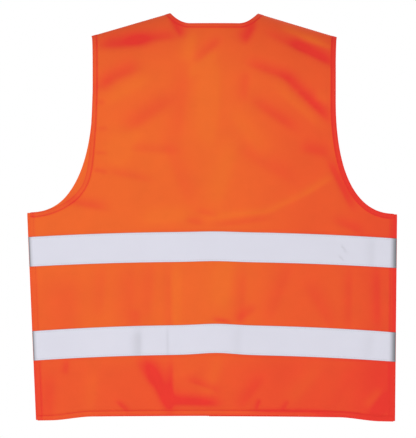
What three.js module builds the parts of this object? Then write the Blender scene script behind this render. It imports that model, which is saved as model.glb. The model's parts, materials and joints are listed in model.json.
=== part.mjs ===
// A high visibility vest, adult size XL, hanging from the shoulders with its fronts closed.
// Millimetres. X runs across the wearer, the back faces -Y, the fronts face +Y and Z is up.
// The origin is midway between the two places where the shoulder seams meet the neck.
// Left and right are the wearer's: left is -X. The left front lies over the right front.
import * as THREE from "three";

// Cloth, trim and the space left between pieces that touch.
const clothThickness = 1.2;
const tapeThickness = 0.8;
const tapeWidth = 50;
const bindingThickness = 0.9;
const bindingClearance = 0.5;
const bindingEdgeClearance = 0.4;
const bindingWidth = 8.4;
const patchThickness = 0.8;
const patchWidth = 20;
const patchHeight = 50;
const patchEdgeClearance = 1.6;
const gap = 0.3;

// The outline, seen from the back.
const neckHalfWidth = 75;
const backNeckDrop = 18.6;
const backNeckFlat = 40;
const shoulderTipX = 207;
const shoulderDrop = 39;
const armholeX = 204;
const armholeLevel = -125;
const armholeRoundness = 2.45;
const leftFrontArmholeShift = 9;
const underarmLevel = -338;
const chestHalfWidth = 313;
const hemHalfWidth = 304;
const hemLevel = -688;
const backHemArch = 8;

// How far the cloth stands from the plane through the shoulder seams and the side seams.
const backDepth = 60;
const backFlatDepth = 58;
const frontTopDepth = 58.3;
const frontHemDepth = 25.7;
const shoulderRoundDrop = 110;
const shoulderRoundLength = 136;

// The fronts: the V neck, the overlap and the line on which each front folds open.
const overlapHalfWidth = patchWidth / 2 + patchEdgeClearance + bindingWidth;
const overlapClearance = 0.2;
const neckPointLevel = -290;
const neckCurve = 1.25;
const foldTopLevel = -110;
const foldHemX = 230;

// The reflective tapes, at the middle of their width, and how much they rise at the centre back.
const upperTapeLevel = -403;
const upperTapeArch = 10;
const lowerTapeLevel = -562.5;
const lowerTapeArch = 13.5;

// The heights of the hook and loop patches, and the care label.
const patchLevels = { top: -330, middle: -483, bottom: -625 };
const labelWidth = 40;
const labelHeight = 58;
const labelThickness = 0.6;
const labelSeamGap = 1.5;

// Sizes that follow from the ones above.
const left = -1;
const right = 1;
const front = 1;
const back = -1;
const halfCloth = clothThickness / 2;
const halfGap = gap / 2;
const bindingBore = halfCloth + bindingClearance;
const bindingSkin = bindingBore + bindingThickness;
const overlapLift = bindingSkin + overlapClearance;
const shoulderSlope = shoulderDrop / (shoulderTipX - neckHalfWidth);
const foldTopX = frontEdgeX(foldTopLevel);

// Where edges stop short of a seam, the shoulder ridge or the fold, so that pieces stay apart.
const seamInset = 2.6;
const hemSeamInset = 6.5;
const ridgeInset = 0.5;
const tipCut = 6;
const underarmSpace = 1;

// How finely the cloth is divided.
const upperRows = 11;
const underarmRows = 9;
const sideRows = 11;
const neckRows = 6;
const edgeRows = 12;
const neckSteps = 18;
const sideColumns = 8;
const centreColumns = 10;
const hemSideSteps = 3;
const patchRows = 4;
const patchColumns = 2;
const slopeStep = 0.5;

const fabricOrange = new THREE.MeshStandardMaterial({ color: 0xee692d, roughness: 0.85 });
const bindingOrange = new THREE.MeshStandardMaterial({ color: 0xe85a2c, roughness: 0.8 });
const silverTape = new THREE.MeshStandardMaterial({ color: 0xdadce4, roughness: 0.45 });
const patchOrange = new THREE.MeshStandardMaterial({ color: 0xd9541f, roughness: 0.95 });
const labelWhite = new THREE.MeshStandardMaterial({ color: 0xf2f2ee, roughness: 0.6 });

function mix(a, b, share) {
  return a + (b - a) * share;
}

// Evenly spaced shares from 0 to 1, both included.
function shares(steps) {
  return Array.from({ length: steps + 1 }, (_, k) => k / steps);
}

// The height of the shoulder ridge. Between the shoulders it carries on as a smooth arch.
function shoulderLevel(x) {
  const reach = Math.abs(x);
  const arched = (reach * reach / neckHalfWidth + neckHalfWidth) / 2;
  return shoulderSlope * (neckHalfWidth - (reach < neckHalfWidth ? arched : reach));
}

function sideHalfWidth(z) {
  const share = (underarmLevel - z) / (underarmLevel - hemLevel);
  return mix(chestHalfWidth, hemHalfWidth, Math.max(share, 0));
}

// The fold line of a front, straight from the V neck edge to the hem.
function foldShare(z) {
  return (foldTopLevel - z) / (foldTopLevel - hemLevel);
}

function foldX(z) {
  return mix(foldTopX, foldHemX, foldShare(z));
}

function foldDepth(z) {
  return mix(frontTopDepth, frontHemDepth, foldShare(z));
}

// The front edge, from the neck end of the shoulder seam to the V point and straight down.
function frontEdgeX(z) {
  const share = Math.min(Math.max(z / neckPointLevel, 0), 1);
  return neckHalfWidth - (neckHalfWidth + overlapHalfWidth) * share ** neckCurve;
}

// Half the vest's depth at a place, before the shoulder rounds it off.
function lensDepth(x, z, face) {
  const share = 1 - (x / sideHalfWidth(z)) ** 2;
  if (face === back) return backDepth * share;
  const level = Math.min(z, foldTopLevel);
  const shareAtFold = 1 - (foldX(level) / sideHalfWidth(level)) ** 2;
  return (foldDepth(level) / shareAtFold) * share;
}

// A place on the cloth is [x, fall]. Fall runs down from the shoulder ridge: up to
// shoulderRoundLength round the shoulder and then straight down, positive on the front and
// negative on the back.
function place(x, z, face) {
  const drop = Math.max(shoulderLevel(x) - z, 0);
  if (drop > shoulderRoundDrop) {
    return [x, face * (shoulderRoundLength + drop - shoulderRoundDrop)];
  }
  const turn = Math.acos(1 - drop / shoulderRoundDrop);
  return [x, face * shoulderRoundLength * turn / (Math.PI / 2)];
}

function surfacePoint([x, fall]) {
  const face = fall < 0 ? back : front;
  const down = Math.abs(fall);
  const turn = Math.min(down / shoulderRoundLength, 1) * Math.PI / 2;
  const drop = shoulderRoundDrop * (1 - Math.cos(turn)) + Math.max(down - shoulderRoundLength, 0);
  const z = shoulderLevel(x) - drop;
  const depth = lensDepth(x, z, face) * Math.sin(turn);
  const y = face === back ? -Math.min(depth, backFlatDepth) : depth;
  return new THREE.Vector3(x, y, z);
}

// How the surface moves for each millimetre of x and of fall, and its outward normal.
function surfaceSlopes([x, fall]) {
  const change = (a, b) => surfacePoint(a).sub(surfacePoint(b)).divideScalar(2 * slopeStep);
  const across = change([x + slopeStep, fall], [x - slopeStep, fall]);
  const down = change([x, fall + slopeStep], [x, fall - slopeStep]);
  return { across, down, normal: new THREE.Vector3().crossVectors(across, down).normalize() };
}

// The place reached by going a distance along the surface in a direction given in space.
function stepAlong([x, fall], direction, distance) {
  const { across, down } = surfaceSlopes([x, fall]);
  const [aa, ad, dd] = [across.dot(across), across.dot(down), down.dot(down)];
  const [a, d] = [across.dot(direction), down.dot(direction)];
  const scale = distance / (aa * dd - ad * ad);
  return [x + (a * dd - d * ad) * scale, fall + (d * aa - a * ad) * scale];
}

// A point at an outward offset from the cloth's middle. From its fold line to its edge, the left
// front lifts and the right front sinks, so that they lie clear of each other where they overlap.
// The side is 0 on a piece that isn't part of a front's opening half.
function offsetPoint(at, offset, side) {
  const point = surfacePoint(at);
  const lift = side === 0 ? 0 : -side * overlapLift * (1 - side * at[0] / foldX(point.z));
  return point.addScaledVector(surfaceSlopes(at).normal, offset + lift);
}

// A closed solid between two grids of points that have the same rows and columns. Each four-sided
// face is split along its shorter diagonal.
function shellGeometry(outer, inner) {
  const rows = outer.length;
  const columns = outer[0].length;
  const points = [...outer.flat(), ...inner.flat()];
  const index = (layer, row, column) => (layer * rows + row) * columns + column;
  const triangles = [];
  const quad = (a, b, c, d) => {
    const across = points[a].distanceTo(points[c]) < points[b].distanceTo(points[d]);
    triangles.push(...(across ? [a, b, c, a, c, d] : [a, b, d, b, c, d]));
  };
  for (let r = 0; r + 1 < rows; r++) {
    for (let c = 0; c + 1 < columns; c++) {
      quad(index(0, r, c), index(0, r + 1, c), index(0, r + 1, c + 1), index(0, r, c + 1));
      quad(index(1, r, c), index(1, r, c + 1), index(1, r + 1, c + 1), index(1, r + 1, c));
    }
  }
  for (let r = 0; r + 1 < rows; r++) {
    const end = columns - 1;
    quad(index(0, r, 0), index(1, r, 0), index(1, r + 1, 0), index(0, r + 1, 0));
    quad(index(0, r, end), index(0, r + 1, end), index(1, r + 1, end), index(1, r, end));
  }
  for (let c = 0; c + 1 < columns; c++) {
    const end = rows - 1;
    quad(index(0, 0, c), index(0, 0, c + 1), index(1, 0, c + 1), index(1, 0, c));
    quad(index(0, end, c), index(1, end, c), index(1, end, c + 1), index(0, end, c + 1));
  }
  if (signedVolume(points, triangles) < 0) triangles.reverse();
  const geometry = new THREE.BufferGeometry().setFromPoints(points);
  geometry.setIndex(triangles);
  geometry.computeVertexNormals();
  return geometry;
}

function signedVolume(points, triangles) {
  let sum = 0;
  for (let k = 0; k < triangles.length; k += 3) {
    const [a, b, c] = [0, 1, 2].map((n) => points[triangles[k + n]]);
    sum += a.dot(new THREE.Vector3().crossVectors(b, c));
  }
  return sum;
}

// A piece of cloth: a grid of places given a thickness between two offsets.
function clothGeometry(grid, low, high, side = 0) {
  const face = (offset) => grid.map((row) => row.map((at) => offsetPoint(at, offset, side)));
  return shellGeometry(face(high), face(low));
}

// Places on straight lines between two edges that have the same number of places.
function gridBetween(edgeA, edgeB, columns) {
  return edgeA.map((a, k) =>
    shares(columns).map((share) => [mix(a[0], edgeB[k][0], share), mix(a[1], edgeB[k][1], share)]),
  );
}

// A binding folded round an edge. The cloth side is 1 where the cloth lies to the left of the
// path, looked at from outside, and -1 where it lies to the right.
function bindingGeometry(path, clothSide, side = 0) {
  const edge = -bindingEdgeClearance;
  const outerProfile = [[bindingWidth, bindingSkin], [edge - bindingThickness, bindingSkin]];
  const innerProfile = [[bindingWidth, bindingBore], [edge, bindingBore]];
  const both = (profile) => [...profile, ...profile.map(([b, n]) => [b, -n]).reverse()];
  const sweep = (profile) =>
    path.map((at, k) => {
      const before = surfacePoint(path[Math.max(k - 1, 0)]);
      const after = surfacePoint(path[Math.min(k + 1, path.length - 1)]);
      const along = after.sub(before).normalize();
      const inward = surfaceSlopes(at).normal.cross(along).multiplyScalar(clothSide);
      return profile.map(([b, n]) => offsetPoint(stepAlong(at, inward, b), n, side));
    });
  return shellGeometry(sweep(both(outerProfile)), sweep(both(innerProfile)));
}

// The armhole edge from the shoulder ridge to the underarm.
function armholeEdge(side, face) {
  const shift = side === left && face === front ? leftFrontArmholeShift : 0;
  const narrowX = armholeX + shift;
  const cornerX = chestHalfWidth - seamInset;
  const upperEnd = Math.abs(place(narrowX, armholeLevel, face)[1]);
  const upper = shares(upperRows).map((share) => {
    const x = mix(shoulderTipX, narrowX, 1 - (1 - share) ** 2);
    return [side * x, face * mix(ridgeInset, upperEnd, share)];
  });
  const power = 2 / armholeRoundness;
  const lower = shares(underarmRows).slice(1).map((share) => {
    const angle = share * Math.PI / 2;
    const x = cornerX - (cornerX - narrowX) * Math.cos(angle) ** power;
    const z = mix(armholeLevel, underarmLevel, Math.sin(angle) ** power);
    return place(side * x, z, face);
  });
  return [...upper, ...lower];
}

function sideEdge(side, face) {
  return shares(sideRows).slice(1).map((share) => {
    const z = mix(underarmLevel, hemLevel, share);
    return place(side * (sideHalfWidth(z) - seamInset), z, face);
  });
}

// How far the back's tapes and hem rise towards the middle.
function archedLevel(level, arch, x) {
  return level + arch * (1 - (x / chestHalfWidth) ** 2);
}

function backNeckLevel(x) {
  const beyond = Math.max(Math.abs(x) - backNeckFlat, 0) / (neckHalfWidth - backNeckFlat);
  return -backNeckDrop * (1 - beyond ** 2);
}

// The back's columns from left to right. Along the neck they close up towards its corners.
function neckColumns() {
  return shares(neckSteps).map((share) => neckHalfWidth * Math.sin((share - 0.5) * Math.PI));
}

function backNeckPlace(x) {
  const [, fall] = place(x, backNeckLevel(x), back);
  return [x, Math.min(fall, -ridgeInset)];
}

function backColumns(edgeX) {
  const outer = shares(sideColumns).slice(0, -1).map((share) => mix(edgeX, neckHalfWidth, share));
  return [...outer.map((x) => -x), ...neckColumns(), ...outer.reverse()];
}

// Rows start along the shoulders and the neck, are level from the armhole's narrowest place down
// and end along the hem.
function backPanel() {
  const edge = [...armholeEdge(right, back), ...sideEdge(right, back)];
  const top = (x) => (Math.abs(x) < neckHalfWidth ? backNeckPlace(x)[1] : -ridgeInset);
  const grid = edge.map(([edgeX, edgeFall], row) => {
    const level = surfacePoint([edgeX, edgeFall]).z;
    const below = Math.max((underarmLevel - level) / (underarmLevel - hemLevel), 0);
    return backColumns(edgeX).map((x) => {
      if (row <= upperRows) {
        return [x, mix(top(x), place(x, armholeLevel, back)[1], row / upperRows)];
      }
      const arch = archedLevel(0, backHemArch, x) * below;
      return place(x, level + arch, back);
    });
  });
  return clothGeometry(grid, -halfCloth, halfCloth);
}

// The V neck edge from the shoulder ridge down to the top of the fold line.
function neckEdge(side) {
  const topFall = place(foldTopX, foldTopLevel, front)[1];
  return shares(upperRows).map((share) => {
    const fall = mix(ridgeInset, topFall, share);
    return [side * frontEdgeX(surfacePoint([side * foldTopX, fall]).z), fall];
  });
}

// The side part of a front: shoulder, armhole, side seam and hem, in as far as the fold line.
function frontSide(side) {
  const outer = [...armholeEdge(side, front), ...sideEdge(side, front)];
  const fold = outer.slice(upperRows + 1).map((at) => {
    const share = (armholeLevel - surfacePoint(at).z) / (armholeLevel - hemLevel);
    const level = mix(foldTopLevel, hemLevel, share);
    return place(side * (foldX(level) + halfGap), level, front);
  });
  const grid = gridBetween(outer, [...neckEdge(side), ...fold], sideColumns);
  return clothGeometry(grid, -halfCloth, halfCloth);
}

// The levels of a front's opening half: its blunt tip, where its edge binding starts, down the V
// neck edge to the V point, and down the straight edge to the hem.
function centreLevels() {
  const bindingStart = foldTopLevel - 2 * bindingWidth;
  const neck = shares(neckRows).map((share) => mix(bindingStart, neckPointLevel, share));
  const straight = shares(edgeRows).slice(1).map((share) => mix(neckPointLevel, hemLevel, share));
  return [foldTopLevel - tipCut, ...neck, ...straight];
}

function frontEdge(side) {
  return centreLevels().map((z) => place(side * frontEdgeX(z), z, front));
}

function frontCentre(side) {
  const fold = centreLevels().map((z) => place(side * (foldX(z) - halfGap), z, front));
  const grid = gridBetween(fold, frontEdge(side), centreColumns);
  return clothGeometry(grid, -halfCloth, halfCloth, side);
}

function armholeBinding(side) {
  const end = chestHalfWidth - seamInset - bindingWidth - underarmSpace;
  const clear = ([x]) => Math.abs(x) < end;
  const backPart = armholeEdge(side, back).filter(clear);
  const frontPart = armholeEdge(side, front).filter(clear);
  return bindingGeometry([...backPart.reverse(), ...frontPart], side);
}

// One binding runs from the fold of the left front, up and round the back neck, to the right.
function neckBinding() {
  const backNeck = neckColumns().map(backNeckPlace);
  return bindingGeometry([...neckEdge(left).reverse(), ...backNeck, ...neckEdge(right)], -1);
}

function frontEdgeBinding(side) {
  return bindingGeometry(frontEdge(side).slice(1), -side, side);
}

function backHemBinding() {
  const columns = backColumns(hemHalfWidth - hemSeamInset);
  const path = columns.map((x) => place(x, archedLevel(hemLevel, backHemArch, x), back));
  return bindingGeometry(path, 1);
}

function frontHemBinding(fromX, toX, steps, side = 0) {
  const path = shares(steps).map((share) => place(mix(fromX, toX, share), hemLevel, front));
  return bindingGeometry(path, -Math.sign(toX - fromX), side);
}

// A reflective tape on a face of the vest. The columns are a function of the height.
function tape(columnsAt, level, arch, face, side = 0) {
  const grid = [tapeWidth / 2, 0, -tapeWidth / 2].map((rise) =>
    columnsAt(level + rise).map((x) => place(x, archedLevel(level, arch, x) + rise, face)),
  );
  const under = halfCloth + gap;
  return clothGeometry(grid, under, under + tapeThickness, side);
}

function backTape(level, arch) {
  return tape((z) => backColumns(sideHalfWidth(z) - seamInset), level, arch, back);
}

function sideTape(side, level) {
  const from = (z) => side * (sideHalfWidth(z) - seamInset);
  const to = (z) => side * (foldX(z) + halfGap);
  const columns = (z) => shares(sideColumns).map((share) => mix(from(z), to(z), share));
  return tape(columns, level, 0, front);
}

function centreTape(side, level) {
  const from = (z) => side * (foldX(z) - halfGap);
  const to = -side * (overlapHalfWidth - bindingWidth - gap);
  const columns = (z) => shares(centreColumns).map((share) => mix(from(z), to, share));
  return tape(columns, level, 0, front, side);
}

function patch(level, low, high, side) {
  const grid = shares(patchRows).map((down) =>
    shares(patchColumns).map((across) => {
      const z = level + patchHeight * (0.5 - down);
      return place(patchWidth * (across - 0.5), z, front);
    }),
  );
  return clothGeometry(grid, low, high, side);
}

// The label's seam is under the neck binding, on the inside of the back. It hangs straight down.
function careLabel() {
  const top = backNeckLevel(0) - bindingWidth - labelSeamGap;
  const seam = offsetPoint(place(0, top, back), -halfCloth - labelSeamGap, 0);
  const geometry = new THREE.BoxGeometry(labelWidth, labelThickness, labelHeight);
  return geometry.translate(0, seam.y, top - labelHeight / 2);
}

const vest = new THREE.Group();

function add(name, geometry, material) {
  const mesh = new THREE.Mesh(geometry, material);
  mesh.name = name;
  vest.add(mesh);
  return mesh;
}

const tapes = [
  ["upper", upperTapeLevel, upperTapeArch],
  ["lower", lowerTapeLevel, lowerTapeArch],
];

add("back_panel", backPanel(), fabricOrange);
add("neck_binding", neckBinding(), bindingOrange);
add("back_hem_binding", backHemBinding(), bindingOrange);
for (const [name, level, arch] of tapes) {
  add(`back_${name}_tape`, backTape(level, arch), silverTape);
}

for (const [name, side] of [["left", left], ["right", right]]) {
  const sideEnd = side * (hemHalfWidth - hemSeamInset);
  const foldOutside = side * (foldX(hemLevel) + halfGap);
  const foldInside = side * (foldX(hemLevel + bindingWidth) - halfGap);
  const centreEnd = -side * (overlapHalfWidth - bindingWidth - gap);
  const sideHem = frontHemBinding(sideEnd, foldOutside, hemSideSteps);
  const centreHem = frontHemBinding(foldInside, centreEnd, centreColumns, side);
  add(`${name}_front_side`, frontSide(side), fabricOrange);
  add(`${name}_front_centre`, frontCentre(side), fabricOrange);
  add(`${name}_armhole_binding`, armholeBinding(side), bindingOrange);
  add(`${name}_front_edge_binding`, frontEdgeBinding(side), bindingOrange);
  add(`${name}_hem_binding_side`, sideHem, bindingOrange);
  add(`${name}_hem_binding_centre`, centreHem, bindingOrange);
  for (const [tapeName, level] of tapes) {
    add(`${name}_${tapeName}_tape_side`, sideTape(side, level), silverTape);
    add(`${name}_${tapeName}_tape_centre`, centreTape(side, level), silverTape);
  }
}

const patchUnder = halfCloth + gap;
const patchOver = patchUnder + patchThickness;
for (const [name, level] of Object.entries(patchLevels)) {
  add(`hook_patch_${name}`, patch(level, -patchOver, -patchUnder, left), patchOrange);
  add(`loop_patch_${name}`, patch(level, patchUnder, patchOver, right), patchOrange);
}

add("care_label", careLabel(), labelWhite);

export default vest;
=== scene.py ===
"""The looks of an orange high visibility vest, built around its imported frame. Metres, +Z up."""
import json
import math
from functools import partial

import bpy
import numpy as np
from bpy.props import FloatProperty, FloatVectorProperty, PointerProperty
from bpy.types import NodeSocket, Operator, Panel, PropertyGroup
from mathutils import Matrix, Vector

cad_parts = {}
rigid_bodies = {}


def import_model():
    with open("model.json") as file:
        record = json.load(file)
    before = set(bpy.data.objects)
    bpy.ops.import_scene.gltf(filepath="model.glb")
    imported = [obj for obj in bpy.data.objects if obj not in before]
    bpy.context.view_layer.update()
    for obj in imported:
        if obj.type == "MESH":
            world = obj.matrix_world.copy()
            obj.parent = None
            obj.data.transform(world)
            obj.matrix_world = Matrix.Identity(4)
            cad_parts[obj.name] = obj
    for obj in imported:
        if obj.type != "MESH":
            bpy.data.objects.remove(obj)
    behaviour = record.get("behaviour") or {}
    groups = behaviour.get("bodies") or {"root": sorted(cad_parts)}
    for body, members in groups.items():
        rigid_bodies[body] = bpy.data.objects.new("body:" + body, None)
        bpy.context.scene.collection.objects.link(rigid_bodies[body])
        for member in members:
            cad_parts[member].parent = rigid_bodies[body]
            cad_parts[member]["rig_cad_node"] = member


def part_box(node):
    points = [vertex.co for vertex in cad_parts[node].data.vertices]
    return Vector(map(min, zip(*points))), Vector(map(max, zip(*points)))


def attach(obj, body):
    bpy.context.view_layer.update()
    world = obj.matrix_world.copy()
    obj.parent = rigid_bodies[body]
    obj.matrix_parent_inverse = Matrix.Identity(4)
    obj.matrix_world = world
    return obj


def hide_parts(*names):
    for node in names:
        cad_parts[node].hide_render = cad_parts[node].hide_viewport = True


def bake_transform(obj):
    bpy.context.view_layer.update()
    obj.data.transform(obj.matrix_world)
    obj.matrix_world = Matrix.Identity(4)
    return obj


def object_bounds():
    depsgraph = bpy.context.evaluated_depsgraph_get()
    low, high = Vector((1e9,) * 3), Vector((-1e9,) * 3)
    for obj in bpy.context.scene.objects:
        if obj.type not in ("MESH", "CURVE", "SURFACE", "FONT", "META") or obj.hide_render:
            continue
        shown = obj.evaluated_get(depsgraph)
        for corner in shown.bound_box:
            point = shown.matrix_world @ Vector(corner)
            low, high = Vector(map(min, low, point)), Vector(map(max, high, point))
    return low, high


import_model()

bl_info = {
    "name": "High visibility vest",
    "version": (1, 0, 0),
    "blender": (4, 5, 0),
    "location": "View3D > Sidebar > Vest",
    "description": "Makes the cloth, tapes, bindings and stitching of a safety vest",
    "category": "Add Mesh",
}

FRAME_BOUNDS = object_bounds()
LEFT, RIGHT = -1, 1
FRONT, BACK = 1, -1
SIDE_NAMES = {"left": LEFT, "right": RIGHT}
PATCH_PLACES = ("top", "middle", "bottom")
MM = 0.001

# What the frame says of the outline and of the trim's levels.
BACK_LOW, BACK_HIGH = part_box("back_panel")
UPPER_TAPE_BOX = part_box("left_upper_tape_side")
LOWER_TAPE_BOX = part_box("left_lower_tape_side")
LABEL_LOW, LABEL_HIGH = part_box("care_label")

# The frame's back panel ends this far inside the side seam line.
SEAM_INSET = 2.6 * MM
# Width of the cloth that is folded in at a side seam.
SEAM_ALLOWANCE = 10 * MM
# How far the bindings stop short of the side seams.
SEAM_CLEARANCE = 3 * MM
# How far the middle of each tape stands above its ends, on the back.
UPPER_ARCH = 10 * MM
LOWER_ARCH = 13.5 * MM
# From a binding's inner edge to its row of stitches.
STITCH_INSET = 1.7 * MM
# The bristles of the hook and loop patches: how many on a square metre, and their size.
PILE_DENSITY = 260000.0
PILE_RADIUS = 0.42 * MM
PILE_THICKNESS = 0.07 * MM


def middle(box, axis):
    return (box[0][axis] + box[1][axis]) / 2


# ---------------------------------------------------------------- sizes and colours


def length(name, description, default):
    return FloatProperty(
        name=name, description=description, default=default, unit="LENGTH", precision=5
    )


def colour(name, description, default):
    return FloatVectorProperty(
        name=name, description=description, default=default, subtype="COLOR", min=0, max=1
    )


class VestSizes(PropertyGroup):
    """Sizes of the vest's cloth and trim. They repeat the frame's."""

    chest_half_width: length(
        "Chest half width", "Half the width at the underarms", BACK_HIGH[0] + SEAM_INSET
    )
    hem_half_width: length("Hem half width", "Half the width at the hem", 304 * MM)
    hem_level: length("Hem level", "Height of the side seams' lower ends", BACK_LOW[2])
    underarm_level: length("Underarm level", "Height of the underarm", -338 * MM)
    neck_half_width: length("Neck half width", "From the middle to a neck point", 75 * MM)
    back_neck_drop: length("Back neck drop", "How far the back neck dips", 18.6 * MM)
    back_neck_flat: length("Back neck flat", "Half the neck's level stretch", 40 * MM)
    shoulder_tip: length("Shoulder tip", "From the middle to a shoulder's tip", 207 * MM)
    shoulder_drop: length("Shoulder drop", "How far a shoulder falls outwards", 39 * MM)
    armhole_x: length("Armhole", "From the middle to the armhole's narrowest place", 204 * MM)
    armhole_level: length("Armhole level", "Height of the narrowest place", -125 * MM)
    back_shift: length("Back shift", "How far the back's left armhole is drawn in", 15 * MM)
    neck_point_level: length("Neck point level", "Height of the V neck's point", -290 * MM)
    overlap: length("Overlap", "Half the width on which the fronts overlap", 20 * MM)
    overlap_lift: length("Overlap lift", "How far each front stands off there", 2.2 * MM)
    cloth: length("Cloth", "Thickness of the cloth", 0.8 * MM)
    tape_width: length("Tape width", "Width of the reflective tapes", 50 * MM)
    tape: length("Tape", "Thickness of the reflective tapes", 0.4 * MM)
    upper_tape: length("Upper tape", "Height of the upper tape", middle(UPPER_TAPE_BOX, 2))
    lower_tape: length("Lower tape", "Height of the lower tape", middle(LOWER_TAPE_BOX, 2))
    binding_width: length("Binding width", "Width of the edge binding", 8.4 * MM)
    binding: length("Binding", "Thickness of the edge binding", 0.45 * MM)
    stitch: length("Stitch", "Length of a stitch with its gap", 3.2 * MM)
    thread: length("Thread", "Radius of the sewing thread", 0.26 * MM)
    patch_width: length("Patch width", "Width of the hook and loop patches", 20 * MM)
    patch_height: length("Patch height", "Height of the hook and loop patches", 50 * MM)


class VestColours(PropertyGroup):
    """Colours of the vest's cloth and trim."""

    turned_cloth: colour("Turned cloth", "The front's edge behind the back", (0.80, 0.31, 0.060))
    # Painted highlight: the cloth's colour on the crests of folds.
    lit_cloth: colour("Lit cloth", "Cloth on the crests of folds", (0.785, 0.152, 0.020))
    cloth: colour("Cloth", "Cloth where it hangs smooth", (0.770, 0.104, 0.022))
    # Painted shade: the cloth's colour in the hollows of folds.
    hollow_shade_cloth: colour("Deep cloth", "Cloth in the hollows of folds", (0.745, 0.036, 0.023))
    tape: colour("Tape", "Reflective tape", (0.765, 0.765, 0.865))
    # Painted shade on the tape where it turns away at a side seam, in its creases and on its
    # edges.
    tape_shade: colour("Tape edge", "Reflective tape where it turns at a seam", (0.13, 0.14, 0.15))
    thread: colour("Thread", "Sewing thread", (0.68, 0.032, 0.020))
    tape_thread: colour("Tape thread", "Thread on the tapes", (0.60, 0.60, 0.66))
    hooks: colour("Hooks", "Hook patches", (0.62, 0.075, 0.018))
    label: colour("Label", "Care label", (0.86, 0.86, 0.83))
    floor: colour("Floor", "Studio floor", (0.90, 0.90, 0.90))


# ---------------------------------------------------------------- the folds in the cloth

# A fold is (x, z, half length, half width, angle in degrees from +X, hollow). Millimetres.
# A hollow above 0 is a valley and below 0 is a crest. At 1 a valley is VALLEY_SHARE of its
# half width deep. A valley also gets painted shade and a crest a painted highlight.
VALLEY_SHARE = 0.13
# A fold falls away softly above its line and sharply below it.
SOFT_SIDE, SHARP_SIDE = 1.35, 0.65
BACK_FOLDS = (
    # shoulders and neck
    (-152, -52, 44, 13, 3, 1.0),
    (-104, -43, 44, 10, 5, 0.75),
    (-63, -24, 20, 9, -58, 0.9),
    (59, -33, 20, 11, 62, 0.95),
    (166, -67, 42, 11, -27, 1.0),
    (120, -48, 36, 9, -26, 0.4),
    (150, -38, 36, 7, -20, -0.6),
    (172, -50, 28, 5, -18, -0.5),
    (-39, -58, 26, 13, 80, -0.5),
    (-10, -64, 27, 8, 44, 0.65),
    (-20, -88, 30, 9, 40, -0.45),
    # the diagonal folds across the shoulder blades
    (96, -99, 42, 10, -20, 0.7),
    (156, -143, 52, 10, -43, 0.95),
    (-192, -128, 24, 9, 24, 0.45),
    (141, -157, 50, 9, -41, -0.4),
    (180, -144, 11, 8, -30, -0.35),
    (100, -171, 44, 10, -33, 0.6),
    (52, -124, 24, 10, 84, 0.45),
    (-160, -106, 36, 13, 24, 0.8),
    (-112, -173, 50, 15, 35, 0.65),
    (-146, -132, 40, 12, 30, -0.35),
    (-55, -152, 62, 17, 84, 0.4),
    (-4, -150, 66, 16, 88, -0.65),
    (-148, -226, 36, 22, 60, -0.45),
    (-193, -152, 9, 3, 4, 0.4),
    (-189, -198, 10, 3, 6, 0.5),
    (-188, -238, 11, 3, -8, 0.5),
    (-190, -268, 12, 3.5, -12, 0.6),
    (-100, -231, 42, 8, -4, 0.4),
    (-140, -275, 36, 7, -12, 0.4),
    (60, -205, 50, 18, -52, -0.3),
    (-60, -262, 60, 15, -68, 0.3),
    (172, -232, 24, 11, -12, 0.5),
    (178, -291, 26, 6, 32, -0.5),
    (130, -317, 40, 6, 25, -0.45),
    (216, -288, 44, 9, -62, 0.8),
    (20, -270, 60, 20, 75, -0.35),
    (90, -255, 55, 14, -30, 0.3),
    # swags above the upper tape
    (45, -340, 56, 6, 7, -0.4),
    (50, -352, 46, 5, 8, 0.4),
    (-75, -345, 40, 14, 5, -0.4),
    (-30, -352, 14, 6, -10, 0.45),
    (-8, -338, 18, 5, -14, 0.35),
    (-216, -323, 38, 9, -10, 0.65),
    (229, -357, 26, 9, -22, 0.4),
    # between the tapes
    (-74, -495, 72, 8, 90, 0.45),
    (-142, -480, 56, 18, 88, 0.4),
    (229, -482, 50, 8, 88, 0.35),
    (278, -480, 50, 8, 90, 0.4),
    (48, -480, 48, 10, 86, 0.4),
    (-62, -480, 58, 13, 88, -0.35),
    (-110, -470, 52, 15, 84, 0.4),
    (-129, -513, 14, 9, 90, 0.4),
    (20, -455, 40, 16, 82, -0.4),
    (54, -506, 20, 8, 40, 0.55),
    (14, -519, 15, 4, -8, 0.9),
    (110, -470, 50, 13, 68, 0.3),
    (180, -492, 44, 14, -60, 0.3),
    (-190, -470, 44, 12, 84, 0.3),
    (-248, -508, 60, 38, 88, 0.42),
    # below the lower tape
    (-96, -627, 50, 13, -68, 1.0),
    (-116, -606, 26, 10, -60, 0.5),
    (-74, -632, 44, 6, 88, 0.6),
    (-36, -659, 42, 11, -3, 1.0),
    (-19, -627, 26, 7, -22, 0.5),
    (-50, -604, 26, 10, 20, -0.15),
    (-2, -616, 34, 12, 70, -0.35),
    (-250, -597, 12, 6, 80, 0.5),
    (-156, -668, 14, 5, -45, 0.6),
    (-206, -640, 40, 12, 84, -0.25),
    (-280, -655, 40, 14, 85, 0.35),
    (60, -640, 34, 11, 55, 0.35),
    (72, -662, 10, 4, 70, 0.6),
    (118, -664, 10, 4, 60, 0.5),
    (127, -676, 62, 3.4, -1, 0.9),
    (150, -628, 46, 15, 52, -0.25),
    (214, -640, 42, 10, 62, 0.1),
    (284, -664, 24, 8, 52, 0.95),
    (268, -650, 20, 7, 50, -0.4),
)
FRONT_FOLDS = (
    (120, -70, 50, 14, -30, 0.8),
    (150, -150, 52, 12, -50, 0.7),
    (96, -210, 60, 14, -62, -0.5),
    (170, -265, 44, 12, -35, 0.5),
    (120, -345, 60, 12, -18, 0.45),
    (215, -345, 30, 9, 18, 0.4),
    (100, -480, 56, 14, 80, 0.45),
    (150, -486, 52, 14, 84, -0.4),
    (212, -478, 46, 12, 98, 0.45),
    (90, -640, 42, 12, 76, 0.7),
    (140, -630, 40, 12, 84, -0.4),
    (190, -642, 44, 11, 100, 0.7),
    (262, -640, 40, 10, 84, 0.4),
)
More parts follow.
